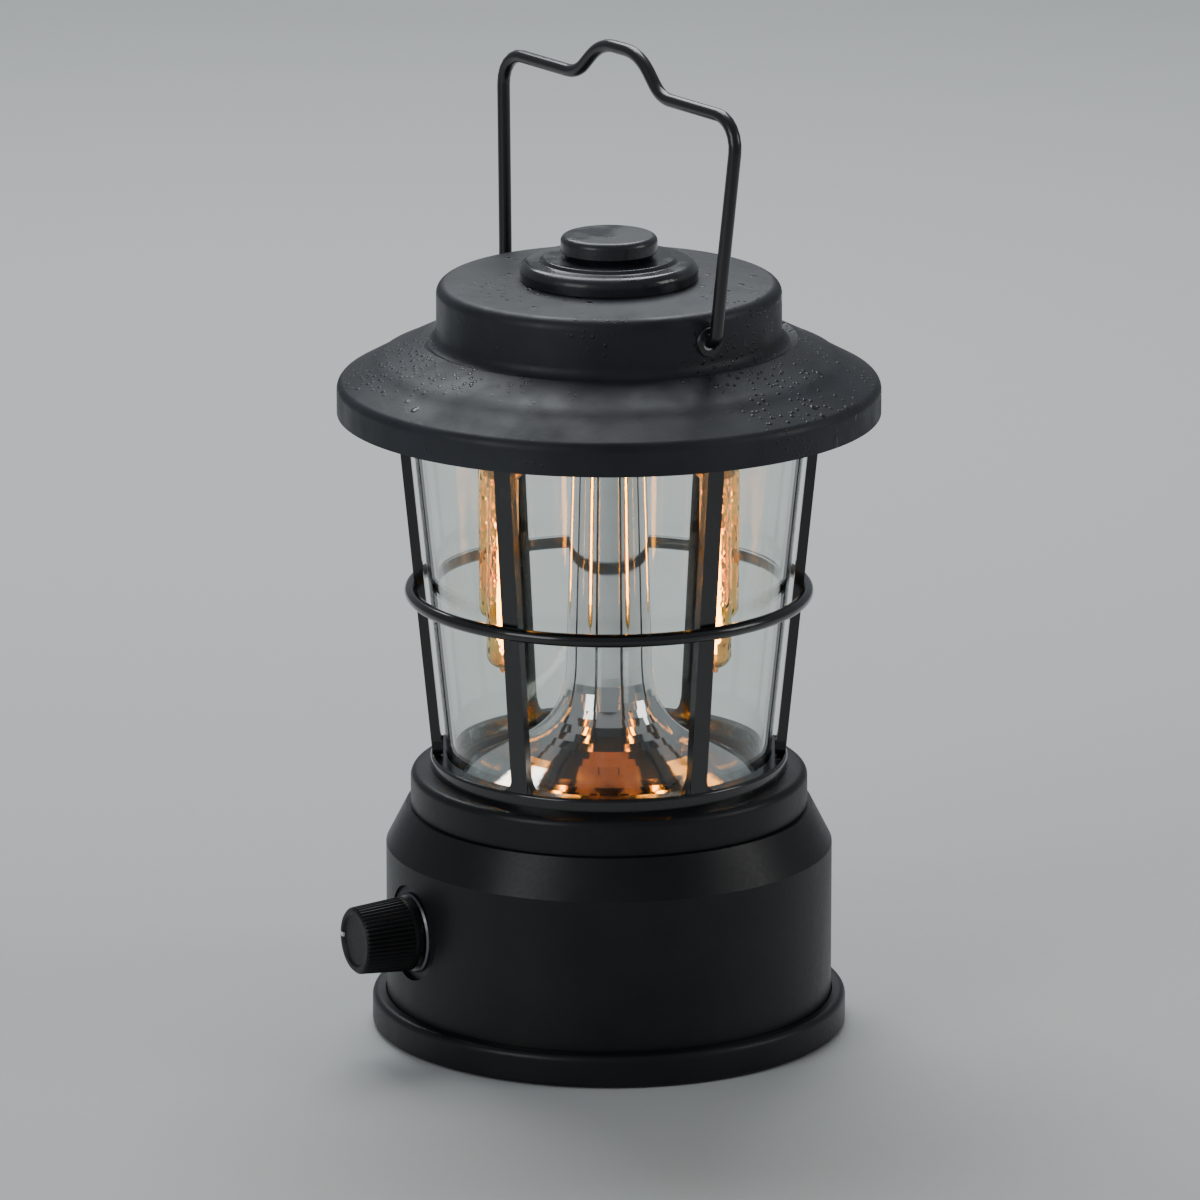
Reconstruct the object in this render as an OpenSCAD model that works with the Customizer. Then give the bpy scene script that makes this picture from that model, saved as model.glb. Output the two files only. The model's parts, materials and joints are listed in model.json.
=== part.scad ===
// Retro camping lantern. A round base holds the battery, the driver board and a side dimmer.
// A six-rib cage guards a tapered glass chimney with a trumpet reflector and four hanging
// filament lamps. A brimmed hat closes the top and carries a folding wire bail.
// Millimetres, +Z up. The origin is the centre of the flat bottom. The front is -Y, the
// dimmer knob points along -X and the charging port is at the back, on +Y.

/* [Base] */
// Outer diameter of the foot flange
flange_d = 109.2; // [108:0.2:112]
// Height of the foot flange's upper edge
flange_h = 7.8; // [6.5:0.1:9]
// Outer diameter of the base body
body_d = 102.6; // [102:0.5:104]
// Height at which the body's chamfer starts
body_h = 43.1; // [41:0.2:44]
// Height of the deck on top of the body
deck_h = 52.1; // [50.6:0.2:53]
// Diameter of the deck at the chamfer's upper edge
deck_d = 93.4; // [93:0.2:95]
// Wall thickness of the base body
wall = 2.2; // [2:0.1:2.4]

/* [Collar] */
// Outer diameter of the collar on the deck
collar_d = 91.2; // [90:0.2:92]
// Height of the collar above the deck
collar_rise = 8.9; // [8.6:0.1:10]

/* [Cage] */
// Height of the cage from its foot ring to its head ring
cage_h = 84.7; // [80:0.1:88]
// Turn of the cage about the lantern's axis
cage_turn = 3; // [-10:1:10]
// Outside radius of the ribs at the foot ring
rib_r_foot = 40.2; // [39.8:0.1:40.4]
// Outside radius of the ribs at the head ring
rib_r_head = 48.6; // [48:0.1:48.9]
// Width of a rib
rib_w = 4.2; // [3:0.1:5]
// Thickness of a rib
rib_t = 2.3; // [2:0.1:2.4]
// Number of ribs
rib_count = 6; // [6:6:12]
// Wire diameter of the guard hoop
hoop_wire = 3; // [2:0.2:4]
// Height of the guard hoop above the ground
hoop_z = 102.6; // [90:0.5:115]

/* [Chimney] */
// Gap between the ribs and the glass
glass_gap = 0.9; // [0.6:0.1:1.2]
// Wall thickness of the glass
glass_t = 2; // [1.6:0.1:2.4]

/* [Reflector] */
// Radius of the reflector's rim
trumpet_r = 34.2; // [33:0.1:34.3]
// Radius of the reflector's neck where the flare begins
neck_r = 9.7; // [9:0.1:11]
// Height at which the flare begins
neck_z = 90.5; // [86:0.5:96]
// Sharpness of the flare
flare_power = 3.4; // [2.6:0.1:4.2]

/* [Lamps] */
// Outer diameter of a lamp's glass tube
tube_d = 7; // [6:0.5:7.5]
// Height of the lower end of the lamp tubes
tube_z = 90.5; // [86:0.5:96]
// Radius of the circle on which the lamps hang
lamp_ring_r = 33; // [31:0.5:34]
// Diameter of a glowing filament
filament_d = 2.6; // [1.6:0.2:3]

/* [Hat] */
// Outer diameter of the brim
brim_d = 124; // [122:0.5:126]
// Height of the brim's vertical edge
brim_edge_h = 8; // [7:0.1:9]
// Outer diameter of the crown
crown_d = 78.6; // [78:0.2:80]
// Thickness of the hat's sheet
hat_t = 1.8; // [1.4:0.1:2]

/* [Bail] */
// Wire diameter of the bail
bail_wire = 3; // [2.6:0.1:3]
// Height of the bail's top above its pivot
bail_rise = 61.5; // [56:0.5:66]
// Half the width of the bail at its shoulders
bail_half_w = 46.2; // [45:0.2:50]
// Lean of the bail from upright, towards +X
bail_lean = 3; // [-8:1:8]
// Turn of the bail's axis about the lantern's axis
bail_turn = 8; // [-10:1:10]

/* [Dimmer] */
// Height of the dimmer's axis
knob_z = 27.5; // [26:0.5:29]
// Diameter of the knob at its base
knob_d = 17; // [16:0.2:17.4]
// Diameter of the knob at its end
knob_end_d = 15.4; // [14.6:0.2:15.8]
// Length of the knob
knob_len = 13.1; // [12:0.1:14]
// Number of splines around the knob
spline_count = 48; // [36:4:56]

/* [Hidden] */
$fn = 96;
eps = 0.02;

flange_r = flange_d / 2;
body_r = body_d / 2;
deck_r = deck_d / 2;
collar_r = collar_d / 2;
inner_r = body_r - wall;

// Bottom cover and its pad
pad_r = 47;
pad_t = 1.5;
cover_z = 0.3;
floor_z = 3.3;
floor_boss_z = 5.3;
shell_z = 3.5;
rim_inner_r = body_r + 0.15;
screw_ring_r = 42;
screw_count = 4;

// Collar and cage heights
collar_z = deck_h + collar_rise;
ledge_z = collar_z - 1.3;
ledge_r = 37.2;
collar_bore_r = 31;
foot_ring_h = 3.2;
foot_ring_r = 41;
foot_ring_in = 37.4;
cage_z = collar_z;
cage_top = cage_z + cage_h;
head_ring_h = 3.6;
head_ring_r = 49.4;
head_ring_in = 46.4;
cage_screw_r = 39.2;
rib_slope = (rib_r_head - rib_r_foot) / cage_h;

// Chimney
glass_z = collar_z + 0.7;
glass_top = cage_top - 2.2;

// Reflector
trumpet_t = 0.9;
trumpet_top = cage_top - 4.3;
trumpet_top_r = 8.3;
flare_z = ledge_z + trumpet_t;

// Lamps, as angles from the front, positive towards +X
lamp_angles = [19, -73, 98, -152];
lamp_count = len(lamp_angles);
holder_z = cage_top - 4.2;
holder_r = 41.5;
cap_r = 4.4;
cap_h = 6;
tube_wall = 0.6;

// Hat
brim_r = brim_d / 2;
crown_r = crown_d / 2;
hat_z = cage_top - 1;
brim_top_z = hat_z + brim_edge_h;
crown_foot_z = hat_z + 18.7;
crown_top_z = hat_z + 30.2;
hat_top_z = crown_top_z + 0.7;
liner_t = 2;
liner_r = brim_r - hat_t - 0.2;
hat_screw_r = 52.5;
hat_post_z = hat_z + 10.5;
stud_r = 2.5;
tier_r = 20.3;
tier_top_z = hat_top_z + 5.1;
finial_r = 11.05;
finial_top_z = tier_top_z + 5.2;

// Bail
bail_pivot_z = hat_z + 23.8;
wire_r = bail_wire / 2;
bail_foot_y = crown_r + 2.3;
bail_end_y = crown_r - 4.3;
ferrule_r = wire_r + 0.5;
bush_flange_t = 0.5;
bush_r = ferrule_r + 0.8;

// Dimmer
wall_flat_x = body_r - 1.2;
knob_x = body_r + 0.8;
knob_end_x = knob_x + knob_len;
pot_x = 48.3;
pot_depth = 8;
shaft_r = 3;
run_gap = 0.08;

// Charging port
port_z = 31.25;
board_z = 28;
board_t = 1.6;
port_mouth_y = 47;
port_floor_y = 48.9;
hinge_x = -10.9;
hinge_y = 49.9;
cover_half_w = 9.4;
cover_half_h = 4.8;
knuckle_r = 0.85;

// Cells
cell_r = 9.2;
cell_len = 65;
cell_x = 9.9;
cell_z = 14.6;
holder_half_x = 21.4;
holder_half_y = 39.4;

// Points of an arc about [x, z], from angle a0 to a1
function arc(x, z, r, a0, a1, n = 8) =
    [for (i = [0:n]) let (a = a0 + (a1 - a0) * i / n) [x + r * cos(a), z + r * sin(a)]];

// A profile of [radius, height] points, turned about Z
module turned(points) {
    rotate_extrude($fn = 180)
        polygon(points);
}

// Copies children to count places at radius r about Z, from the front (-Y)
module around(r, count, first = 0) {
    for (i = [0:count - 1])
        rotate([0, 0, first + i * 360 / count])
            translate([0, -r, 0])
                children();
}

// Turns a shape that stands along +Z so that it points along -X at the dimmer's height
module on_dimmer_axis() {
    translate([0, 0, knob_z])
        rotate([0, -90, 0])
            children();
}

// A stadium-shaped bar through y0 to y1, centred on the port
module port_bar(half_w, half_h, y0, y1) {
    for (side = [-1, 1])
        translate([side * (half_w - half_h), y0, port_z])
            rotate([-90, 0, 0])
                cylinder(h = y1 - y0, r = half_h);
    translate([half_h - half_w, y0, port_z - half_h])
        cube([2 * (half_w - half_h), y1 - y0, 2 * half_h]);
}

// A pan-head screw standing on its head at z = 0, with a cross recess in the head
module pan_screw(head_r, head_h, shank_r, len) {
    difference() {
        union() {
            turned(concat(
                [[0, 0], [head_r * 0.7, 0]],
                arc(head_r * 0.7, head_h * 0.6, head_h * 0.6, -80, 0, 4),
                [[head_r, head_h * 0.6], [head_r, head_h], [0, head_h]]));
            cylinder(h = head_h + len, r = shank_r);
        }
        for (turn = [0, 90])
            rotate([0, 0, turn])
                translate([-head_r * 0.62, -head_r * 0.11, -1])
                    cube([head_r * 1.24, head_r * 0.22, 1 + head_h * 0.5]);
    }
}

// ---------------------------------------------------------------- base

module rubber_foot() {
    color([0.05, 0.05, 0.05])
        difference() {
            cylinder(h = pad_t, r = pad_r - 0.1);
            around(screw_ring_r, screw_count, 45)
                translate([0, 0, -1])
                    cylinder(h = pad_t + 2, r = 3.6);
            for (groove_r = [14:8:30])
                translate([0, 0, -eps])
                    rotate_extrude($fn = 180)
                        translate([groove_r, 0])
                            square([1.6, 0.5]);
        }
}

module base_cover() {
    edge = 1.6;
    foot_edge = 0.9;
    color([0.07, 0.07, 0.075])
        difference() {
            union() {
                turned(concat(
                    [[0, pad_t], [pad_r, pad_t], [pad_r, cover_z]],
                    arc(flange_r - foot_edge, cover_z + foot_edge, foot_edge, -90, 0, 5),
                    arc(flange_r - edge, flange_h - edge, edge, 0, 90),
                    [[rim_inner_r, flange_h], [rim_inner_r, floor_z], [0, floor_z]]));
                around(screw_ring_r, screw_count, 45)
                    translate([0, 0, floor_z - eps])
                        cylinder(h = floor_boss_z - floor_z + eps, r = 5);
            }
            around(screw_ring_r, screw_count, 45) {
                translate([0, 0, pad_t - 1])
                    cylinder(h = 3.2, r = 3.2);
                cylinder(h = 8, r = 1.7);
            }
        }
}

module base_screws() {
    color([0.45, 0.45, 0.47])
        around(screw_ring_r, screw_count, 45)
            translate([0, 0, 1.8])
                pan_screw(2.8, 1.9, 1.4, 10);
}

module base_shell() {
    in_edge = 0.9;
    color([0.06, 0.06, 0.065])
        difference() {
            union() {
                turned([
                    [inner_r, shell_z], [body_r, shell_z], [body_r, body_h],
                    [deck_r, deck_h], [8, deck_h], [8, deck_h - 2],
                    [deck_r - 1.7, deck_h - 2], [inner_r, body_h - in_edge]]);
                around(screw_ring_r, screw_count, 45)
                    translate([0, 0, floor_boss_z])
                        cylinder(h = deck_h - 1 - floor_boss_z, r = 4);
                intersection() {
                    translate([-16, 44.8, port_z - 7])
                        cube([32, 10, 14]);
                    cylinder(h = body_h, r = body_r - 1);
                }
            }
            // Pilot holes for the base screws
            around(screw_ring_r, screw_count, 45)
                translate([0, 0, floor_boss_z - 1])
                    cylinder(h = 12, r = 1.45);
            // Clearance holes for the screws of the cage's foot
            around(cage_screw_r, 3, 90)
                translate([0, 0, deck_h - 3])
                    cylinder(h = 6, r = 1.1);
            // Flat spot face and bushing hole of the dimmer
            on_dimmer_axis() {
                translate([0, 0, wall_flat_x])
                    cylinder(h = 10, r = 11);
                translate([0, 0, 40])
                    cylinder(h = 15, r = 3.6);
            }
            // Pocket of the port cover, and the port's opening
            translate([hinge_x - 2, port_floor_y, port_z - cover_half_h - 0.4])
                cube([cover_half_w - hinge_x + 2.4, 5, 2 * cover_half_h + 0.8]);
            port_bar(5.9, 2.6, 40, 55);
        }
    // Ears that hold the port cover's pin
    color([0.06, 0.06, 0.065])
        for (side = [-1, 1])
            difference() {
                translate([hinge_x, hinge_y, port_z + side * 4.15])
                    pin_ear();
                translate([hinge_x, hinge_y, port_z - 8])
                    cylinder(h = 16, r = 0.55);
            }
}

// One ear: a short round lug on a foot that reaches the pocket's floor
module pin_ear() {
    translate([0, 0, -1.05])
        cylinder(h = 2.1, r = knuckle_r);
    translate([-knuckle_r, port_floor_y - hinge_y - 0.5, -1.05])
        cube([2 * knuckle_r, hinge_y - port_floor_y + 0.5, 2.1]);
}

module collar_ring() {
    edge = 1.9;
    color([0.06, 0.06, 0.065])
        difference() {
            union() {
                turned(concat(
                    [[collar_bore_r, deck_h], [collar_bore_r + 2, deck_h],
                     [collar_bore_r + 2, ledge_z - 1.8], [collar_r - 2.2, ledge_z - 1.8],
                     [collar_r - 2.2, deck_h], [collar_r, deck_h]],
                    arc(collar_r - edge, collar_z - 0.4 - edge, edge, 0, 84),
                    [[foot_ring_r + 0.6, collar_z], [ledge_r, collar_z],
                     [ledge_r, ledge_z], [collar_bore_r, ledge_z]]));
                around(cage_screw_r, 3, 90)
                    translate([0, 0, deck_h])
                        cylinder(h = collar_rise - 2, r = 3);
            }
            around(cage_screw_r, 3, 90)
                translate([0, 0, deck_h - 1])
                    cylinder(h = collar_rise + 2, r = 1.1);
        }
}

// ---------------------------------------------------------------- battery and board

module battery_holder() {
    peg_h = board_z - floor_z;
    color([0.12, 0.12, 0.13]) {
        translate([-holder_half_x, -holder_half_y, floor_z])
            cube([2 * holder_half_x, 2 * holder_half_y, 1.9]);
        for (side = [-1, 1]) {
            translate([side * (holder_half_x - 1) - 1, -34, floor_z])
                cube([2, 68, 11]);
            translate([-holder_half_x, side * 35.4 - 1, floor_z])
                cube([2 * holder_half_x, 2, 13]);
        }
        for (side_x = [-1, 1])
            for (side_y = [-1, 1])
                translate([side_x * 19, side_y * 37.4, floor_z])
                    cylinder(h = peg_h, r = 1.8);
    }
}

module battery_cell(side) {
    crimp = 0.8;
    color([0.16, 0.32, 0.55])
        translate([side * cell_x, -cell_len / 2, cell_z])
            rotate([-90, 0, 0])
                turned([
                    [0, 0], [cell_r - crimp, 0], [cell_r, crimp], [cell_r, cell_len - 3],
                    [cell_r - crimp, cell_len - 2.6], [cell_r - crimp, cell_len - 2],
                    [cell_r, cell_len - 1.6], [cell_r, cell_len - 0.6],
                    [3.4, cell_len - 0.6], [3.4, cell_len], [0, cell_len]]);
}

module nickel_strips() {
    half_len = cell_len / 2;
    color([0.75, 0.74, 0.7])
        for (end = [-1, 1])
            translate([-14, end * (half_len + 0.15) - 0.15, cell_z - 3])
                cube([28, 0.3, 6]);
}

module driver_board() {
    color([0.05, 0.3, 0.15])
        difference() {
            intersection() {
                translate([-22, -holder_half_y, board_z])
                    cube([44, holder_half_y + 44.6, board_t]);
                cylinder(h = 60, r = inner_r - 1.2);
            }
            for (side_x = [-1, 1])
                translate([side_x * 15, -30, board_z - 1])
                    cylinder(h = 5, r = 1.5);
        }
}

module driver_chips() {
    chips = [[-12, 14, 5, 6, 1.5], [-13, 24, 4, 4, 1.2], [12, 26, 6, 5, 1.6], [-14, -16, 3, 5, 1.8]];
    color([0.08, 0.08, 0.08])
        for (chip = chips)
            translate([chip[0] - chip[2] / 2, chip[1] - chip[3] / 2, board_z + board_t])
                cube([chip[2], chip[3], chip[4]]);
}

module choke_coil() {
    color([0.6, 0.35, 0.15])
        translate([11, 10, board_z + board_t])
            turned(concat(
                [[2.2, 0.6], [2.2, 5.4]],
                arc(4.6, 3, 2.4, 90, -90, 10)));
}

module lamp_connector() {
    color([0.85, 0.83, 0.76])
        translate([-4.5, -3, board_z + board_t])
            difference() {
                cube([9, 6, 6]);
                for (side = [-1, 1])
                    translate([4.5 + side * 1.8, 3, 2])
                        cylinder(h = 5, r = 0.85);
            }
}

module usb_port() {
    depth = 7.3;
    color([0.75, 0.75, 0.77])
        difference() {
            port_bar(4.47, 1.6, port_mouth_y - depth, port_mouth_y);
            port_bar(4.17, 1.3, port_mouth_y - depth + 1, port_mouth_y + 1);
        }
    color([0.1, 0.1, 0.1])
        translate([-3.3, port_mouth_y - depth + 0.5, port_z - 0.35])
            cube([6.6, 6, 0.7]);
}

module port_cover() {
    plug_y = port_mouth_y + 0.7;
    color([0.09, 0.09, 0.09])
        difference() {
            union() {
                intersection() {
                    union() {
                        for (side_x = [-1, 1])
                            for (side_z = [-1, 1])
                                translate([side_x * (cover_half_w - 2), port_floor_y + 0.15,
                                           port_z + side_z * (cover_half_h - 2)])
                                    rotate([-90, 0, 0])
                                        cylinder(h = 4, r = 2);
                        translate([-cover_half_w, port_floor_y + 0.15, port_z + 2 - cover_half_h])
                            cube([2 * cover_half_w, 4, 2 * cover_half_h - 4]);
                        translate([2 - cover_half_w, port_floor_y + 0.15, port_z - cover_half_h])
                            cube([2 * cover_half_w - 4, 4, 2 * cover_half_h]);
                    }
                    cylinder(h = body_h, r = body_r - 0.1);
                }
                port_bar(4.2, 1.9, plug_y, port_floor_y + 0.3);
                translate([hinge_x, hinge_y, port_z - 2.8])
                    cylinder(h = 5.6, r = knuckle_r);
                translate([hinge_x, hinge_y - 0.7, port_z - 2.8])
                    cube([2.4, 1.4, 5.6]);
            }
            translate([hinge_x, hinge_y, port_z - 8])
                cylinder(h = 16, r = 0.5 + run_gap);
            // Finger nick at the free edge
            translate([cover_half_w - 0.9, port_floor_y, port_z - 2])
                cube([2, 0.9, 4]);
        }
}

module port_cover_pin() {
    color([0.6, 0.6, 0.62])
        translate([hinge_x, hinge_y, port_z - 5.1])
            cylinder(h = 10.2, r = 0.5);
}

// ---------------------------------------------------------------- dimmer

module dimmer_pot() {
    color([0.45, 0.42, 0.36])
        on_dimmer_axis()
            difference() {
                union() {
                    translate([0, 0, pot_x - pot_depth])
                        cylinder(h = pot_depth, r = 8.2);
                    translate([0, 0, pot_x - 1])
                        cylinder(h = 4.2, r = 3.5);
                }
                translate([0, 0, pot_x - 4.5])
                    cylinder(h = 12, r = shaft_r + run_gap);
            }
}

module pot_leads() {
    color([0.7, 0.1, 0.08])
        for (lane = [-2.5, 0, 2.5])
            translate([-(pot_x - pot_depth), lane, board_z + board_t + 0.65])
                rotate([0, 90, 0])
                    cylinder(h = 20.5, r = 0.6);
}

module pot_nut() {
    nut_flat = 10;
    color([0.6, 0.6, 0.6])
        on_dimmer_axis()
            translate([0, 0, wall_flat_x])
                difference() {
                    cylinder(h = 1.6, r = nut_flat / 2 / cos(30), $fn = 6);
                    translate([0, 0, -1])
                        cylinder(h = 4, r = 3.55);
                }
}

module knob_bezel() {
    color([0.3, 0.3, 0.31])
        on_dimmer_axis()
            translate([0, 0, wall_flat_x])
                turned([[7.6, 0], [9.2, 0], [9.2, 0.6], [8.8, 1], [8, 1], [7.6, 0.6]]);
}

module dimmer_shaft() {
    color([0.7, 0.7, 0.7])
        on_dimmer_axis()
            translate([0, 0, pot_x - 4.2])
                cylinder(h = knob_x + 9 - pot_x + 4.2, r = shaft_r);
}

module dimmer_knob() {
    r0 = knob_d / 2;
    r1 = knob_end_d / 2;
    skirt = 1.4;
    taper = atan((r0 - r1) / (knob_len - skirt));
    lip = 0.6;
    groove = 0.78;
    color([0.06, 0.06, 0.06])
        on_dimmer_axis()
            difference() {
                translate([0, 0, knob_x])
                    turned([
                        [shaft_r + 3.3, 0], [r0 - 0.3, 0], [r0, 0.3], [r0, skirt],
                        [r1, knob_len - lip], [r1 - lip, knob_len],
                        [r1 - 1.6, knob_len], [r1 - 2.1, knob_len - 0.5], [0, knob_len - 0.5],
                        [0, 9.1], [shaft_r + 0.02, 9.1], [shaft_r + 0.02, 3.2], [shaft_r + 3.3, 3.2]]);
                for (i = [0:spline_count - 1])
                    rotate([0, 0, i * 360 / spline_count])
                        translate([r0 + 0.08, 0, knob_x + skirt])
                            rotate([0, -taper, 0])
                                rotate([0, 0, 45])
                                    translate([-groove / 2, -groove / 2, 0])
                                        cube([groove, groove, knob_len * 1.2]);
                // Seat of the pointer, towards +Y
                translate([-0.5, 0, knob_end_x - 0.45])
                    translate([0, r1 - 2.0, 0])
                        cube([1, 3, 1]);
            }
}

module knob_pointer() {
    color([0.9, 0.9, 0.88])
        on_dimmer_axis()
            translate([-0.48, knob_end_d / 2 - 1.98, knob_end_x - 0.44])
                cube([0.96, 1.4, 0.46]);
}

// ---------------------------------------------------------------- cage and glass

// Outside radius of a rib at height z
function rib_r(z) = rib_r_foot + rib_slope * (z - cage_z);

module cage_rib() {
    z0 = cage_z + 1;
    z1 = cage_top - 1;
    fillet = 3.4;
    translate([0, rib_w / 2, 0])
        rotate([90, 0, 0])
            linear_extrude(height = rib_w)
                polygon([
                    [rib_r(z0) - rib_t, z0], [rib_r(z0), z0],
                    [rib_r(z1), z1], [rib_r(z1) - rib_t, z1]]);
    // Fillets that run out into the foot ring
    for (side = [-1, 1])
        translate([foot_ring_in + 0.7, side * rib_w / 2, cage_z + foot_ring_h - 0.3])
            rotate([90, 0, 90])
                linear_extrude(height = rib_t)
                    mirror([side < 0 ? 1 : 0, 0])
                        difference() {
                            square([fillet, fillet]);
                            translate([fillet, fillet])
                                circle(r = fillet);
                        }
}

module cage_frame() {
    edge = 0.8;
    color([0.03, 0.03, 0.03])
        difference() {
            union() {
                turned(concat(
                    [[foot_ring_in, cage_z], [foot_ring_r, cage_z]],
                    arc(foot_ring_r - edge, cage_z + foot_ring_h - edge, edge, 0, 90, 5),
                    [[foot_ring_in, cage_z + foot_ring_h]]));
                turned([
                    [head_ring_in, cage_top - head_ring_h], [head_ring_r, cage_top - head_ring_h],
                    [head_ring_r, cage_top], [head_ring_in, cage_top]]);
                for (i = [0:rib_count - 1])
                    rotate([0, 0, i * 360 / rib_count - 90 + cage_turn])
                        cage_rib();
            }
            // Notches that seat the guard hoop
            rotate_extrude($fn = 180)
                translate([rib_r(hoop_z) + 1, hoop_z])
                    circle(r = hoop_wire / 2 + 0.03);
            // Threads for the screws of the foot and of the head
            around(cage_screw_r, 3, 90)
                translate([0, 0, cage_z - 1])
                    cylinder(h = 3.4, r = 1.05);
            around((head_ring_r + head_ring_in) / 2, 3, 90)
                translate([0, 0, cage_top - 2.6])
                    cylinder(h = 4, r = 1.05);
        }
}

module cage_hoop() {
    color([0.03, 0.03, 0.03])
        rotate_extrude($fn = 180)
            translate([rib_r(hoop_z) + 1, hoop_z])
                circle(r = hoop_wire / 2);
}

module cage_foot_screws() {
    color([0.5, 0.5, 0.5])
        around(cage_screw_r, 3, 90)
            translate([0, 0, deck_h - 3.6])
                pan_screw(2, 1.6, 1, collar_rise + 3.8);
}

module cage_head_screws() {
    color([0.5, 0.5, 0.5])
        around((head_ring_r + head_ring_in) / 2, 3, 90)
            translate([0, 0, cage_top + liner_t + 1.6])
                mirror([0, 0, 1])
                    pan_screw(2, 1.6, 1, liner_t + 2.2);
}

// Outside radius of the glass at height z
function glass_r(z) = rib_r(z) - rib_t - glass_gap;

module glass_chimney() {
    lip = glass_t / 2;
    color([0.75, 0.85, 0.8, 0.35])
        turned(concat(
            arc(glass_r(glass_z) - lip, glass_z + lip, lip, 180, 360),
            arc(glass_r(glass_top) - lip, glass_top - lip, lip, 0, 180)));
}

module lower_gasket() {
    color([0.04, 0.04, 0.04])
        turned([
            [trumpet_r + 0.2, ledge_z], [ledge_r - 0.1, ledge_z], [ledge_r - 0.1, glass_z - 0.1],
            [trumpet_r + 0.2, glass_z - 0.1]]);
}

module upper_gasket() {
    color([0.04, 0.04, 0.04])
        turned([
            [glass_r(glass_top) - 2.4, glass_top + 0.02], [glass_r(glass_top) + 0.3, glass_top + 0.02],
            [glass_r(glass_top) + 0.3, cage_top], [glass_r(glass_top) - 2.4, cage_top]]);
}

// ---------------------------------------------------------------- reflector and lamps

// Outside radius of the reflector at height z: a flare that dies into a tapering neck
function flare_r(z) =
    z >= neck_z
        ? neck_r + (trumpet_top_r - neck_r) * (z - neck_z) / (trumpet_top - neck_z)
        : neck_r + (trumpet_r - neck_r) * pow((neck_z - z) / (neck_z - flare_z), flare_power);

module reflector() {
    steps = 22;
    // Rings bunch towards the rim, where the flare turns fastest
    heights = [for (i = [0:steps]) flare_z + (neck_z - flare_z) * pow(i / steps, 1.6)];
    outside = concat([for (z = heights) [flare_r(z), z]], [[trumpet_top_r, trumpet_top]]);
    inside = concat(
        [[trumpet_top_r - trumpet_t, trumpet_top]],
        [for (i = [steps:-1:1]) [flare_r(heights[i]) - trumpet_t, heights[i] - trumpet_t * 0.4]],
        [[trumpet_r - 3, ledge_z]]);
    color([0.85, 0.85, 0.87])
        turned(concat([[trumpet_r, ledge_z]], outside, inside));
}

module lamp_holder() {
    color([0.05, 0.05, 0.05])
        difference() {
            turned([
                [4.6, holder_z], [holder_r - 1.5, holder_z], [holder_r, holder_z + 1.5],
                [holder_r, cage_top - 0.05], [39, cage_top - 0.05], [39, cage_top - 1.8],
                [4.6, cage_top - 1.8]]);
            for (a = lamp_angles)
                rotate([0, 0, a])
                    translate([0, -lamp_ring_r, holder_z - 1])
                        cylinder(h = 5, r = 1.1);
        }
}

// Amber disc under the holder, seen as a reflection in the flare
module amber_plate() {
    plate_r = 25;
    color([0.6, 0.35, 0.15])
        turned([
            [trumpet_top_r + 0.7, holder_z - 1.2], [plate_r - 1, holder_z - 1.2],
            [plate_r, holder_z - 0.4], [plate_r, holder_z - 0.02], [trumpet_top_r + 0.7, holder_z - 0.02]]);
}

module lamp_board() {
    color([0.05, 0.3, 0.15])
        difference() {
            translate([0, 0, cage_top - 1.75])
                cylinder(h = 1.6, r = 38.8);
            translate([0, 0, cage_top - 3])
                cylinder(h = 5, r = 4.8);
        }
}

module lamp_leads() {
    color([0.7, 0.1, 0.08])
        for (side = [-1, 1])
            translate([side * 1.8, 0, board_z + board_t + 2.4])
                cylinder(h = cage_top - board_z - board_t - 2.8, r = 0.75);
}

// Places a lamp piece on the lamp circle
module at_lamp(i) {
    rotate([0, 0, lamp_angles[i]])
        translate([0, -lamp_ring_r, 0])
            children();
}

module lamp_glass(i) {
    r = tube_d / 2;
    top = holder_z - 1.2;
    color([1, 0.8, 0.5, 0.4])
        at_lamp(i)
            turned(concat(
                [[0, tube_z - 1.1], [0.5, tube_z - 1], [0.8, tube_z + 0.05]],
                arc(0, tube_z + r, r, -72, 0),
                [[r, top], [r - tube_wall, top]],
                arc(0, tube_z + r, r - tube_wall, 0, -90)));
}

module filament(i) {
    r = filament_d / 2;
    z0 = tube_z + 5.5;
    z1 = holder_z - 5;
    color([1, 0.75, 0.3])
        at_lamp(i)
            turned(concat(
                [[0, z0 - 2.2], [0.35, z0 - 2.2], [0.35, z0]],
                arc(0, z0 + r, r, -70, 0, 5),
                arc(0, z1 - r, r, 0, 70, 5),
                [[0.35, z1], [0.35, holder_z - 0.1], [0, holder_z - 0.1]]));
}

module lamp_cap(i) {
    hold_r = tube_d / 2 + 0.06;
    color([0.7, 0.5, 0.25])
        at_lamp(i)
            turned([
                [hold_r, holder_z - cap_h], [cap_r - 0.3, holder_z - cap_h],
                [cap_r, holder_z - cap_h + 0.3], [cap_r, holder_z - 0.02], [0.5, holder_z - 0.02],
                [0.5, holder_z - 1], [hold_r, holder_z - 1]]);
}

// ---------------------------------------------------------------- hat

// Outer outline of the hat, from the brim's lower edge to the top of the crown
function hat_outline(in) =
    let (edge = 2.6, crown_edge = 2.6, foot = 3)
    concat(
        [[brim_r - in, hat_z], [brim_r - in, brim_top_z - edge]],
        arc(brim_r - edge, brim_top_z - edge, edge - in, 0, 62),
        [[brim_r - 8.7, brim_top_z + 3.7 - in], [brim_r - 9.6, brim_top_z + 4.5 - in],
         [brim_r - 11.4, brim_top_z + 5.3 - in],
         [crown_r + foot + 0.6, crown_foot_z - foot + 1.4 - in]],
        arc(crown_r + foot, crown_foot_z + 0.6, foot + in, 248, 180),
        arc(crown_r - crown_edge, crown_top_z - crown_edge, crown_edge - in, 0, 84),
        [[tier_r, hat_top_z - in]]);

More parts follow.
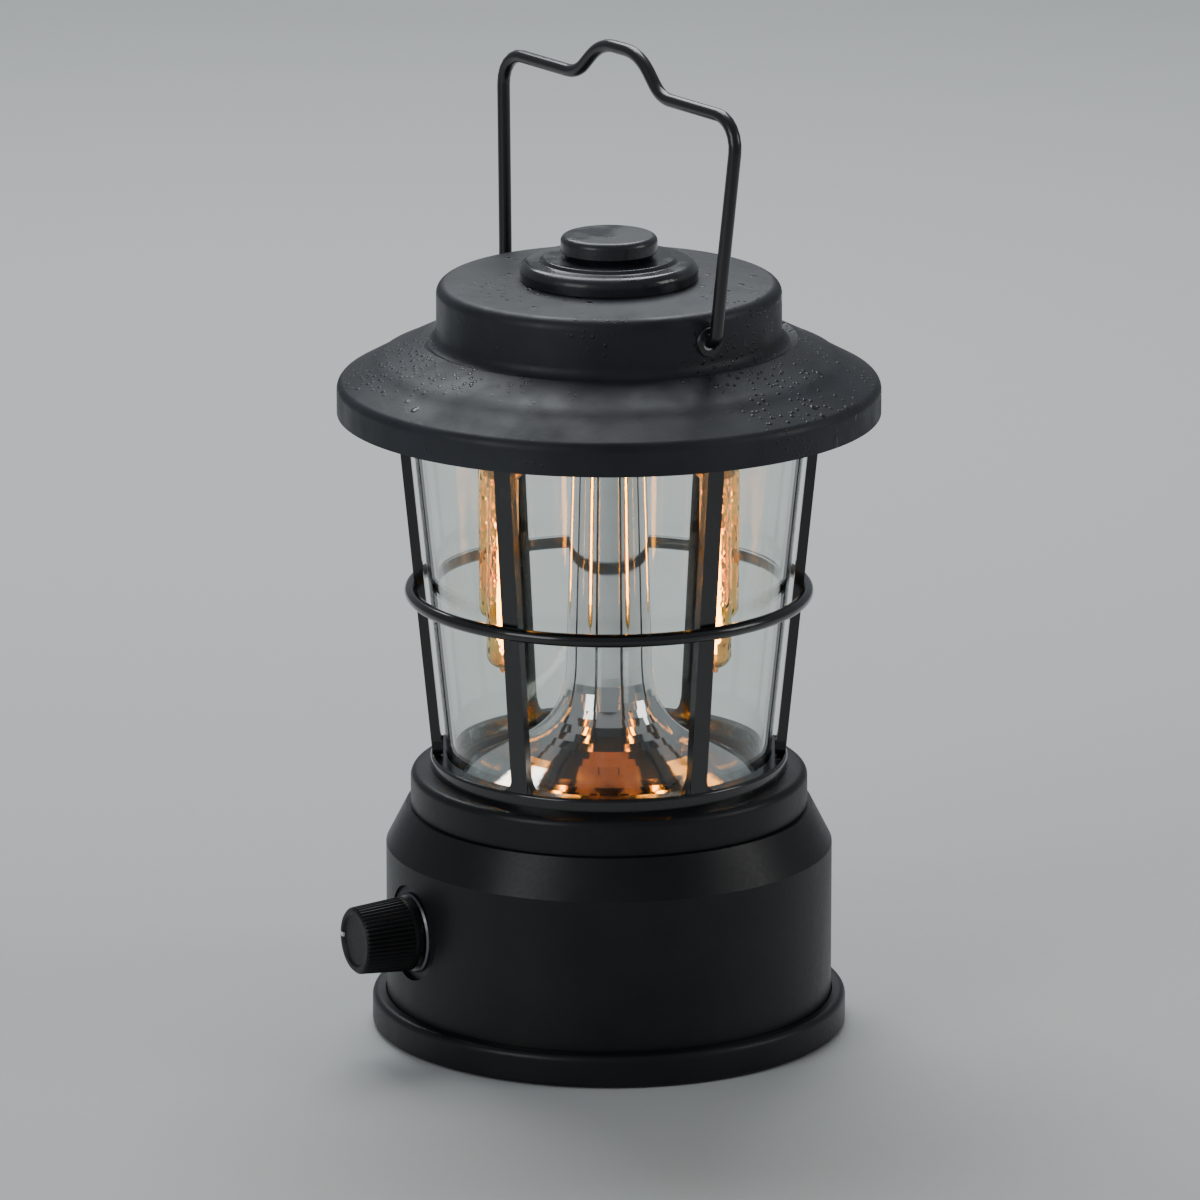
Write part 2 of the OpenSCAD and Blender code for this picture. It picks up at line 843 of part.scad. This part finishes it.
module hat_shell() {
    outer = hat_outline(0);
    inner = hat_outline(hat_t);
    count = len(inner);
    reversed = [for (i = [count - 1:-1:0]) inner[i]];
    color([0.09, 0.09, 0.1])
        difference() {
            union() {
                turned(concat(
                    outer, [[stud_r + 0.15, hat_top_z], [stud_r + 0.15, hat_top_z - hat_t]], reversed));
                around(hat_screw_r, 3, 150)
                    translate([0, 0, cage_top + liner_t])
                        cylinder(h = hat_post_z - cage_top - liner_t, r = 2.6);
            }
            around(hat_screw_r, 3, 150)
                translate([0, 0, cage_top])
                    cylinder(h = 6.4, r = 1.3);
            // Holes for the bail's bushings
            rotate([0, 0, bail_turn])
                translate([0, -crown_r - 5, bail_pivot_z])
                    rotate([-90, 0, 0])
                        cylinder(h = 2 * crown_r + 10, r = bush_r + 0.05);
        }
}

module hat_liner() {
    color([0.05, 0.05, 0.05])
        difference() {
            turned([
                [4, cage_top], [liner_r, cage_top], [liner_r, cage_top + liner_t - 0.1],
                [4, cage_top + liner_t - 0.1]]);
            around(hat_screw_r, 3, 150)
                translate([0, 0, cage_top - 1])
                    cylinder(h = 6, r = 1.4);
            around((head_ring_r + head_ring_in) / 2, 3, 90)
                translate([0, 0, cage_top - 1])
                    cylinder(h = 6, r = 1.1);
        }
}

module hat_screws() {
    color([0.2, 0.2, 0.2])
        around(hat_screw_r, 3, 150)
            translate([0, 0, cage_top - 1.5])
                pan_screw(2.4, 1.5, 1.25, 6);
}

module hat_tier() {
    edge = 2.2;
    color([0.04, 0.04, 0.045])
        turned(concat(
            [[stud_r + 0.15, hat_top_z], [tier_r, hat_top_z]],
            arc(tier_r - edge, tier_top_z - 0.9 - edge, edge, 0, 86),
            [[15.7, tier_top_z - 0.85], [15, tier_top_z], [stud_r + 0.15, tier_top_z]]));
}

module hat_finial() {
    edge = 1.5;
    color([0.04, 0.04, 0.045])
        turned(concat(
            [[0, finial_top_z - 2.2], [0, finial_top_z]],
            arc(finial_r - edge, finial_top_z - edge - 0.1, edge, 88, 0),
            [[finial_r, tier_top_z + 1.4], [finial_r - 0.9, tier_top_z + 0.5],
             [finial_r - 1.2, tier_top_z], [stud_r + 0.05, tier_top_z],
             [stud_r + 0.05, finial_top_z - 2.2]]));
}

module finial_stud() {
    color([0.6, 0.6, 0.6])
        translate([0, 0, hat_top_z - hat_t - 6])
            cylinder(h = finial_top_z - hat_top_z + hat_t + 3.6, r = stud_r);
}

module finial_nut() {
    color([0.6, 0.6, 0.6])
        translate([0, 0, hat_top_z - hat_t - 4])
            difference() {
                cylinder(h = 3.95, r = 4.6, $fn = 6);
                translate([0, 0, -1])
                    cylinder(h = 6, r = stud_r + 0.05);
            }
}

// ---------------------------------------------------------------- bail

module bail_bushings() {
    color([0.2, 0.2, 0.2])
        for (side = [-1, 1])
            translate([0, 0, bail_pivot_z])
                rotate([side * 90, 0, bail_turn])
                    turned([
                        [ferrule_r + run_gap, crown_r - hat_t - 1.2],
                        [bush_r, crown_r - hat_t - 1.2], [bush_r, crown_r + 0.02],
                        [bush_r + 0.7, crown_r + 0.02], [bush_r + 0.5, crown_r + bush_flange_t],
                        [ferrule_r + run_gap, crown_r + bush_flange_t]]);
}

// Unit vector from a to b
function heading(a, b) = (b - a) / norm(b - a);

// Points of a rounded corner at b, between the stretches a-b and b-c
function corner(a, b, c, r, steps = 6) =
    let (
        from = heading(a, b),
        to = heading(b, c),
        side = from[0] * to[1] - from[1] * to[0] > 0 ? 1 : -1,
        half_turn = acos(from * to) / 2,
        normal = [-from[1], from[0]] * side,
        centre = b - from * r * tan(half_turn) + normal * r)
    [for (i = [0:steps])
        let (turn = 2 * half_turn * i / steps)
        centre - normal * r * cos(turn) + from * r * sin(turn)];

// Wire of radius r swept along a route of [y, z] points in the Y-Z plane
module wire_sweep(route, r, sides = 16) {
    count = len(route);
    points = [for (i = [0:count - 1])
        let (
            along = heading(route[max(i - 1, 0)], route[min(i + 1, count - 1)]),
            normal = [-along[1], along[0]])
        for (k = [0:sides - 1])
            let (out = route[i] + normal * r * cos(360 * k / sides))
            [r * sin(360 * k / sides), out[0], out[1]]];
    walls = [for (i = [0:count - 2])
        for (k = [0:sides - 1])
            let (next = (k + 1) % sides)
            [i * sides + k, (i + 1) * sides + k, (i + 1) * sides + next, i * sides + next]];
    start = [for (k = [0:sides - 1]) k];
    end = [for (k = [sides - 1:-1:0]) (count - 1) * sides + k];
    polyhedron(points = points, faces = concat(walls, [start, end]));
}

module bail_handle() {
    // Corners of half the bail about the pivot: inner end, foot, leg, shoulder, valley and hump
    half = [
        [bail_end_y, 0], [bail_foot_y, 0], [bail_foot_y + 0.6, 8],
        [bail_half_w, bail_rise - 10], [16.5, bail_rise - 10], [7.5, bail_rise - wire_r]];
    bends = [0, 2.2, 12, 7, 9, 13];
    last = len(half) - 1;
    corners = concat(half, [for (i = [last:-1:0]) [-half[i][0], half[i][1]]]);
    radii = concat(bends, [for (i = [last:-1:0]) bends[i]]);
    route = concat(
        [corners[0]],
        [for (i = [1:2 * last]) each corner(corners[i - 1], corners[i], corners[i + 1], radii[i])],
        [corners[2 * last + 1]]);
    color([0.05, 0.05, 0.05])
        translate([0, 0, bail_pivot_z])
            rotate([0, bail_lean, bail_turn])
                wire_sweep(route, wire_r);
}

// Sleeves on the wire's inturned ends: they run in the bushings, and their heads keep them there
module bail_ferrules() {
    color([0.3, 0.3, 0.3])
        for (side = [-1, 1])
            translate([0, 0, bail_pivot_z])
                rotate([side * -90, 0, bail_turn])
                    turned([
                        [0, bail_end_y - 1.8], [ferrule_r + 0.7, bail_end_y - 1.8],
                        [ferrule_r + 0.7, bail_end_y - 0.4], [ferrule_r, bail_end_y - 0.4],
                        [ferrule_r, crown_r + 0.1], [wire_r + 0.02, crown_r + 0.1],
                        [wire_r + 0.02, bail_end_y - 0.02], [0, bail_end_y - 0.02]]);
}

rubber_foot();
base_cover();
base_screws();
base_shell();
collar_ring();
battery_holder();
battery_cell(-1);  // battery_cell_left
battery_cell(1);  // battery_cell_right
nickel_strips();
driver_board();
driver_chips();
choke_coil();
lamp_connector();
usb_port();
dimmer_pot();
pot_leads();
pot_nut();
knob_bezel();
dimmer_shaft();
dimmer_knob();
knob_pointer();
port_cover();
port_cover_pin();
cage_frame();
cage_hoop();
cage_foot_screws();
cage_head_screws();
glass_chimney();
lower_gasket();
upper_gasket();
reflector();
lamp_holder();
amber_plate();
lamp_board();
lamp_leads();
for (i = [0:lamp_count - 1]) {
    lamp_glass(i);
    filament(i);
    lamp_cap(i);
}
hat_liner();
hat_screws();
hat_shell();
hat_tier();
hat_finial();
finial_stud();
finial_nut();
bail_bushings();
bail_handle();
bail_ferrules();
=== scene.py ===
# Retro camping lantern: materials, light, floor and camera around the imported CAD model.
import json
import math

import bpy
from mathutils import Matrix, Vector

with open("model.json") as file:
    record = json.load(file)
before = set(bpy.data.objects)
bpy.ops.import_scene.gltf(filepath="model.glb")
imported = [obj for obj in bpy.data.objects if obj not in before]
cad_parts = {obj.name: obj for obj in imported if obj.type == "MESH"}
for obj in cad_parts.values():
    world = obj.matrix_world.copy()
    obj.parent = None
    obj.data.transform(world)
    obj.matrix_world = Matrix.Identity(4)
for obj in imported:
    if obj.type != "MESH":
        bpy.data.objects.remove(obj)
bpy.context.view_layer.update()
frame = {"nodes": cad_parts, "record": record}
MM = 0.001


# ---------------------------------------------------------------- camera, floor and light

VIEW_AZIMUTH = -27.0
VIEW_ELEVATION = 15.0
VIEW_DISTANCE = 2.288
AIM_HEIGHT = 0.1
LENS = 300.0
SENSOR = 36.0
SIDE_SHIFT = -0.0075
FLOOR_HALF = 12.0
LIGHT_AIM = (0, 0, 0.12)
WORLD_STRENGTH = 0.26


def make_camera():
    """A long-lens camera at the photograph's viewing angle."""
    azimuth = math.radians(VIEW_AZIMUTH)
    elevation = math.radians(VIEW_ELEVATION)
    away = Vector((
        math.sin(azimuth) * math.cos(elevation),
        -math.cos(azimuth) * math.cos(elevation),
        math.sin(elevation)))
    data = bpy.data.cameras.new("camera")
    data.lens = LENS
    data.sensor_width = SENSOR
    data.shift_x = SIDE_SHIFT
    data.clip_start = 0.01
    data.clip_end = 50.0
    camera = bpy.data.objects.new("camera", data)
    camera.location = Vector((0, 0, AIM_HEIGHT)) + away * VIEW_DISTANCE
    camera.rotation_euler = (-away).to_track_quat("-Z", "Y").to_euler()
    bpy.context.scene.collection.objects.link(camera)
    bpy.context.scene.camera = camera


def make_floor():
    """A plain pale floor."""
    mesh = bpy.data.meshes.new("floor")
    half = FLOOR_HALF
    mesh.from_pydata(
        [(-half, -half, 0), (half, -half, 0), (half, half, 0), (-half, half, 0)],
        [], [(0, 1, 2, 3)])
    floor = bpy.data.objects.new("floor", mesh)
    bpy.context.scene.collection.objects.link(floor)
    material = bpy.data.materials.new("floor_pale")
    material.use_nodes = True
    shader = material.node_tree.nodes["Principled BSDF"]
    shader.inputs["Base Color"].default_value = (0.62, 0.63, 0.62, 1)
    shader.inputs["Roughness"].default_value = 0.85
    mesh.materials.append(material)


def area_light(name, place, target, size, power, colour):
    """A square soft box at place that faces target."""
    data = bpy.data.lights.new(name, "AREA")
    data.shape = "SQUARE"
    data.size = size
    data.energy = power
    data.color = colour
    lamp = bpy.data.objects.new(name, data)
    lamp.location = place
    lamp.rotation_euler = (Vector(target) - Vector(place)).to_track_quat("-Z", "Y").to_euler()
    bpy.context.scene.collection.objects.link(lamp)


def make_light():
    """Soft studio light: a high back box, a fill on each side and a pale surround."""
    world = bpy.data.worlds.new("studio")
    world.use_nodes = True
    background = world.node_tree.nodes["Background"]
    background.inputs["Color"].default_value = (0.80, 0.86, 0.92, 1)
    background.inputs["Strength"].default_value = WORLD_STRENGTH
    bpy.context.scene.world = world
    area_light("top_box", (0.25, 0.75, 1.15), LIGHT_AIM, 0.9, 14.0, (0.93, 0.97, 1.0))
    area_light("left_box", (-1.1, -0.35, 0.55), LIGHT_AIM, 0.6, 3.2, (0.95, 0.98, 1.0))
    area_light("right_box", (1.0, -0.7, 0.6), LIGHT_AIM, 0.5, 2.2, (1.0, 0.98, 0.95))


# ---------------------------------------------------------------- node helper

class Paint:
    """One material on a Principled shader, with short calls for the nodes that it needs."""

    def __init__(self, name, colour, roughness, **sockets):
        self.material = bpy.data.materials.new(name)
        self.material.use_nodes = True
        self.tree = self.material.node_tree
        self.shader = self.tree.nodes["Principled BSDF"]
        self.shader.inputs["Base Color"].default_value = (*colour, 1)
        self.shader.inputs["Roughness"].default_value = roughness
        for socket, value in sockets.items():
            self.shader.inputs[socket.replace("_", " ")].default_value = value
        self.place = self.tree.nodes.new("ShaderNodeTexCoord").outputs["Object"]

    def link(self, source, target):
        if isinstance(source, (int, float)):
            target.default_value = source
        elif isinstance(source, tuple):
            target.default_value = (*source, 1) if len(target.default_value) == 4 else source
        else:
            self.tree.links.new(source, target)

    def stretched(self, x, y, z):
        """Object coordinates scaled along each axis."""
        node = self.tree.nodes.new("ShaderNodeMapping")
        self.link(self.place, node.inputs["Vector"])
        node.inputs["Scale"].default_value = (x, y, z)
        return node.outputs["Vector"]

    def noise(self, scale, detail=3.0, roughness=0.55, where=None, distortion=0.0):
        node = self.tree.nodes.new("ShaderNodeTexNoise")
        self.link(where or self.place, node.inputs["Vector"])
        node.inputs["Scale"].default_value = scale
        node.inputs["Detail"].default_value = detail
        node.inputs["Roughness"].default_value = roughness
        node.inputs["Distortion"].default_value = distortion
        return node.outputs["Fac"]

    def cells(self, scale, feature="F1", where=None):
        node = self.tree.nodes.new("ShaderNodeTexVoronoi")
        node.feature = feature
        self.link(where or self.place, node.inputs["Vector"])
        node.inputs["Scale"].default_value = scale
        return node.outputs["Distance"]

    def span(self, value, low, high, to_low=0.0, to_high=1.0):
        """value from low..high mapped to to_low..to_high and held there."""
        node = self.tree.nodes.new("ShaderNodeMapRange")
        self.link(value, node.inputs["Value"])
        node.inputs["From Min"].default_value = low
        node.inputs["From Max"].default_value = high
        node.inputs["To Min"].default_value = to_low
        node.inputs["To Max"].default_value = to_high
        return node.outputs["Result"]

    def calc(self, operation, a, b):
        node = self.tree.nodes.new("ShaderNodeMath")
        node.operation = operation
        self.link(a, node.inputs[0])
        self.link(b, node.inputs[1])
        return node.outputs["Value"]

    def blend(self, amount, first, second):
        """first where amount is 0 and second where it is 1."""
        node = self.tree.nodes.new("ShaderNodeMix")
        node.data_type = "RGBA"
        self.link(amount, node.inputs[0])
        self.link(first, node.inputs[6])
        self.link(second, node.inputs[7])
        return node.outputs[2]

    def bump(self, value, strength, depth):
        """Adds relief of the given depth in metres, on top of any relief so far."""
        node = self.tree.nodes.new("ShaderNodeBump")
        node.inputs["Strength"].default_value = strength
        node.inputs["Distance"].default_value = depth
        self.link(value, node.inputs["Height"])
        old = self.shader.inputs["Normal"].links
        if old:
            self.tree.links.new(old[0].from_socket, node.inputs["Normal"])
        self.tree.links.new(node.outputs["Normal"], self.shader.inputs["Normal"])

    def set(self, socket, value):
        self.link(value, self.shader.inputs[socket])


# ---------------------------------------------------------------- materials

def moulded_black(name, colour, roughness, grain):
    """Satin moulded plastic: fine spark texture, faint mottling and handling smears."""
    paint = Paint(name, colour, roughness, Specular_IOR_Level=0.32)
    mottle = paint.noise(60, 4)
    smear = paint.noise(22, 3, 0.6, paint.stretched(1, 1, 0.35), 0.6)
    lighter = tuple(c * 1.5 + 0.002 for c in colour)
    paint.set("Base Color", paint.blend(paint.span(mottle, 0.35, 0.75), colour, lighter))
    paint.set("Roughness", paint.calc(
        "ADD", paint.span(smear, 0.3, 0.7, roughness - 0.07, roughness + 0.09),
        paint.span(paint.noise(900, 2), 0.3, 0.7, -0.03, 0.03)))
    paint.bump(paint.noise(grain, 2, 0.6), 0.16, 0.00006)
    return paint.material


def hat_enamel():
    """Fine powder coat, wet in places: pinhead drops, dark wet flecks and short runs, with a
    painted grey-blue sheen in lighter patches.
    """
    dry = (0.012, 0.013, 0.017)
    paint = Paint("hat_powder_coat", dry, 0.5, Specular_IOR_Level=0.4)
    patches = paint.noise(28, 4, 0.6)
    # Lighter grey-blue patches are a painted sheen laid into the colour, not wear
    painted_sheen = (0.030, 0.033, 0.042)
    paint_colour = paint.blend(paint.span(patches, 0.38, 0.72), dry, painted_sheen)
    # Drops sit only where a broad mask lets them
    field = paint.span(paint.noise(42, 3, 0.5), 0.5, 0.62)
    drops = paint.calc("MULTIPLY", paint.span(paint.cells(560), 0.30, 0.16), field)
    flecks = paint.calc(
        "MULTIPLY", paint.span(paint.cells(210, where=paint.stretched(1, 1, 0.5)), 0.20, 0.12),
        paint.span(paint.noise(33, 2), 0.55, 0.60))
    wet = paint.calc("MAXIMUM", drops, flecks)
    paint.set("Base Color", paint.blend(wet, paint_colour, (0.008, 0.008, 0.010)))
    dry_rough = paint.span(paint.noise(75, 4), 0.3, 0.7, 0.36, 0.58)
    paint.set("Roughness", paint.calc("SUBTRACT", dry_rough, paint.calc("MULTIPLY", wet, 0.3)))
    paint.bump(paint.noise(1500, 2, 0.6), 0.22, 0.00008)
    paint.bump(paint.noise(150, 3, 0.5), 0.25, 0.00025)
    paint.bump(wet, 0.6, 0.00025)
    return paint.material


def wet_enamel():
    """Smooth semi-gloss enamel with a broken film of water."""
    base = (0.009, 0.0095, 0.012)
    paint = Paint("hat_gloss_enamel", base, 0.3, Coat_Weight=0.35, Coat_Roughness=0.12)
    film = paint.span(paint.noise(70, 3, 0.5), 0.42, 0.56)
    paint.set("Base Color", paint.blend(paint.noise(90, 4), base, (0.024, 0.026, 0.032)))
    paint.set("Roughness", paint.span(film, 0, 1, 0.44, 0.16))
    paint.bump(film, 0.35, 0.00012)
    paint.bump(paint.span(paint.cells(640), 0.28, 0.12), 0.3, 0.00012)
    paint.bump(paint.noise(1200, 2), 0.12, 0.00005)
    return paint.material


def cage_enamel(name, colour, roughness):
    """Glossy black enamel with orange peel and small scuffs."""
    paint = Paint(name, colour, roughness, Coat_Weight=0.5, Coat_Roughness=0.08)
    scuffs = paint.span(paint.noise(240, 5, 0.65, paint.stretched(1, 1, 0.3)), 0.60, 0.72)
    paint.set("Base Color", paint.blend(scuffs, colour, tuple(c * 2.4 + 0.008 for c in colour)))
    paint.set("Roughness", paint.span(scuffs, 0, 1, roughness, roughness + 0.25))
    paint.bump(paint.noise(420, 2, 0.4), 0.12, 0.0001)
    return paint.material


def clear_glass():
    """Clear pressed glass, faintly wavy, with a trace of dust in the roughness."""
    paint = Paint("clear_glass", (0.955, 0.985, 0.965), 0.0, IOR=1.46, Transmission_Weight=1.0)
    dust = paint.span(paint.noise(160, 5, 0.6), 0.5, 0.8, 0.0, 0.07)
    paint.set("Roughness", dust)
    paint.set("Base Color", paint.blend(
        paint.span(paint.noise(45, 3), 0.4, 0.7), (0.97, 0.99, 0.975), (0.90, 0.95, 0.92)))
    paint.bump(paint.noise(26, 1, 0.4, paint.stretched(1, 1, 0.35)), 0.10, 0.0008)
    return paint.material


def amber_glass():
    """Amber-tinted lamp glass full of fine seeds."""
    paint = Paint("amber_glass", (1.0, 0.78, 0.42), 0.02, IOR=1.46, Transmission_Weight=1.0)
    tint = paint.span(paint.noise(120, 3), 0.35, 0.7)
    paint.set("Base Color", paint.blend(tint, (1.0, 0.80, 0.38), (0.97, 0.58, 0.16)))
    seeds = paint.span(paint.cells(620, where=paint.stretched(1, 1, 0.7)), 0.34, 0.10)
    paint.set("Roughness", paint.span(seeds, 0, 1, 0.02, 0.16))
    paint.bump(seeds, 0.5, 0.00025)
    paint.bump(paint.noise(210, 2), 0.3, 0.0003)
    return paint.material


def chrome_mirror():
    """Vacuum-metallised mirror with faint polishing lines and haze."""
    paint = Paint("chrome_mirror", (0.86, 0.86, 0.87), 0.04, Metallic=1.0)
    haze = paint.noise(48, 4, 0.6)
    paint.set("Base Color", paint.blend(
        paint.span(haze, 0.4, 0.75), (0.90, 0.90, 0.91), (0.74, 0.73, 0.73)))
    paint.set("Roughness", paint.span(haze, 0.35, 0.75, 0.025, 0.10))
    paint.bump(paint.noise(110, 2, 0.4), 0.05, 0.0004)
    paint.bump(paint.noise(30, 2, 0.5, paint.stretched(1, 1, 14)), 0.03, 0.0001)
    return paint.material


def lit_filament():
    """A phosphor rod that glows amber, hottest along its beads."""
    paint = Paint("filament_glow", (1.0, 0.72, 0.28), 0.5, Emission_Strength=34.0)
    beads = paint.cells(500, where=paint.stretched(0.01, 0.01, 1))
    warmth = paint.span(beads, 0.1, 0.6)
    paint.set("Emission Color", paint.blend(warmth, (1.0, 0.58, 0.11), (1.0, 0.46, 0.06)))
    paint.set("Base Color", paint.blend(paint.noise(300), (1.0, 0.75, 0.3), (0.9, 0.55, 0.15)))
    paint.bump(beads, 0.3, 0.0002)
    return paint.material


def amber_plate():
    """Amber-brown semi-gloss plastic with cloudy depth."""
    paint = Paint("amber_plate", (0.45, 0.19, 0.06), 0.26, Coat_Weight=0.4)
    cloud = paint.noise(70, 4, 0.6)
    paint.set("Base Color", paint.blend(
        paint.span(cloud, 0.3, 0.7), (0.52, 0.24, 0.08), (0.30, 0.12, 0.035)))
    paint.set("Roughness", paint.span(cloud, 0.3, 0.7, 0.2, 0.36))
    paint.bump(paint.noise(500, 2), 0.1, 0.0001)
    return paint.material


def plated(name, colour, roughness, grain=700):
    """Plated or machined metal with fine lines, tarnish and scattered dulling."""
    paint = Paint(name, colour, roughness, Metallic=1.0)
    tarnish = paint.span(paint.noise(180, 4, 0.6), 0.4, 0.75)
    paint.set("Base Color", paint.blend(tarnish, colour, tuple(c * 0.55 for c in colour)))
    paint.set("Roughness", paint.span(
        paint.noise(grain, 3), 0.3, 0.7, roughness - 0.06, roughness + 0.12))
    paint.bump(paint.noise(grain, 2, 0.5, paint.stretched(1, 1, 0.15)), 0.15, 0.00005)
    return paint.material


def moulded(name, colour, roughness, spread=0.25, grain=900, depth=0.00006):
    """Any other moulded, printed or sleeved surface, with mottling and fine texture."""
    paint = Paint(name, colour, roughness)
    mottle = paint.span(paint.noise(140, 4, 0.6), 0.3, 0.7)
    dark = tuple(c * (1 - spread) for c in colour)
    light = tuple(min(1, c * (1 + spread)) for c in colour)
    paint.set("Base Color", paint.blend(mottle, dark, light))
    paint.set("Roughness", paint.span(
        paint.noise(90, 3), 0.3, 0.7, roughness - 0.08, roughness + 0.08))
    paint.bump(paint.noise(grain, 2, 0.6), 0.2, depth)
    return paint.material


def circuit_board():
    """Green solder mask over faint copper tracks."""
    paint = Paint("circuit_board", (0.02, 0.16, 0.07), 0.35)
    tracks = paint.span(paint.cells(260, "DISTANCE_TO_EDGE"), 0.03, 0.06)
    paint.set("Base Color", paint.blend(tracks, (0.05, 0.28, 0.12), (0.012, 0.11, 0.05)))
    paint.set("Roughness", paint.span(paint.noise(200), 0.3, 0.7, 0.28, 0.42))
    paint.bump(tracks, 0.2, 0.00005)
    return paint.material


def coil_winding():
    """Enamelled copper turns."""
    paint = Paint("coil_winding", (0.72, 0.34, 0.14), 0.28, Metallic=1.0)
    turns = paint.noise(1200, 1, 0.4, paint.stretched(1, 0.2, 0.2))
    paint.set("Base Color", paint.blend(turns, (0.55, 0.22, 0.08), (0.85, 0.45, 0.2)))
    paint.set("Roughness", paint.span(turns, 0.3, 0.7, 0.2, 0.4))
    paint.bump(turns, 0.6, 0.0003)
    return paint.material


def make_materials():
    """One material for each of the record's slots."""
    return {
        "base_black": moulded_black("base_satin_black", (0.007, 0.0075, 0.0085), 0.38, 1400),
        "knob_black": moulded_black("knob_satin_black", (0.006, 0.006, 0.0065), 0.44, 1800),
        "hat_black": hat_enamel(),
        "hat_gloss": wet_enamel(),
        "cage_black": cage_enamel("cage_gloss_black", (0.005, 0.005, 0.0055), 0.20),
        "bail_black": cage_enamel("bail_satin_black", (0.007, 0.007, 0.0075), 0.34),
        "clear_glass": clear_glass(),
        "amber_glass": amber_glass(),
        "chrome": chrome_mirror(),
        "filament": lit_filament(),
        "amber_plate": amber_plate(),
        "holder_black": moulded("holder_nylon", (0.012, 0.012, 0.012), 0.5),
        "cap_brass": plated("cap_brass", (0.55, 0.34, 0.13), 0.28),
        "steel": plated("zinc_steel", (0.55, 0.55, 0.56), 0.32),
        "black_screw": plated("black_oxide", (0.06, 0.06, 0.06), 0.38),
        "nickel": plated("nickel", (0.70, 0.68, 0.62), 0.26),
        "pot_metal": plated("pressed_can", (0.50, 0.48, 0.42), 0.34),
        "bezel_grey": plated("bezel_grey", (0.16, 0.16, 0.17), 0.30),
        "copper": coil_winding(),
        "circuit_board": circuit_board(),
        "rubber": moulded("moulded_rubber", (0.022, 0.022, 0.023), 0.66, 0.3, 800, 0.0001),
        "inner_plastic": moulded("inner_plastic", (0.09, 0.09, 0.10), 0.5),
        "cell_wrap": moulded("cell_sleeve", (0.05, 0.16, 0.42), 0.3),
        "chip_black": moulded("chip_epoxy", (0.03, 0.03, 0.03), 0.55),
        "connector_ivory": moulded("nylon_ivory", (0.78, 0.74, 0.62), 0.45, 0.08),
        "wire_red": moulded("wire_sleeve", (0.50, 0.04, 0.03), 0.4),
        "pointer_white": moulded("pointer_white", (0.78, 0.78, 0.76), 0.5, 0.06),
        "bushing_black": moulded("bushing_acetal", (0.03, 0.03, 0.03), 0.3),
    }


# ---------------------------------------------------------------- CAD nodes

SMOOTH_ANGLE = math.radians(20)
WELD_GAP = 0.002 * MM
# Radius of the softened edges, in millimetres
EDGE_ROUND = {
    "base_shell": 0.35, "base_cover": 0.15, "collar_ring": 0.2, "cage_frame": 0.3,
    "hat_shell": 0.25, "hat_tier": 0.2, "hat_finial": 0.25, "lamp_holder": 0.2,
    "dimmer_knob": 0.08, "port_cover": 0.25}
# Welded and shaded smooth, with no softened edge
SMOOTH_ONLY = ("bail_handle",)


def finish_node(name, piece, material):
    """Gives a CAD node its material and, where it is listed, smooth curves and soft edges."""
    mesh = piece.data
    mesh.materials.clear()
    mesh.materials.append(material)
    if name not in EDGE_ROUND and name not in SMOOTH_ONLY:
        return
    # The imported corner normals don't outlive a weld, so they are made afresh after it
    for layer in ("custom_normal", "sharp_edge", "sharp_face"):
        if layer in mesh.attributes:
            mesh.attributes.remove(mesh.attributes[layer])
    mesh.shade_smooth()
    weld = piece.modifiers.new("weld", "WELD")
    weld.merge_threshold = WELD_GAP
    if name in EDGE_ROUND:
        bevel = piece.modifiers.new("edge", "BEVEL")
        bevel.width = EDGE_ROUND[name] * MM
        bevel.segments = 2
        bevel.limit_method = "ANGLE"
        bevel.angle_limit = SMOOTH_ANGLE
        bevel.harden_normals = False
        bevel.use_clamp_overlap = True
        shading = piece.modifiers.new("shading", "WEIGHTED_NORMAL")
        shading.keep_sharp = True


def dress_nodes(materials):
    slots = {part["node"]: part["material_slot"] for part in frame["record"]["subparts"]}
    for name, piece in frame["nodes"].items():
        finish_node(name, piece, materials[slots[name]])


make_camera()
make_floor()
make_light()
dress_nodes(make_materials())
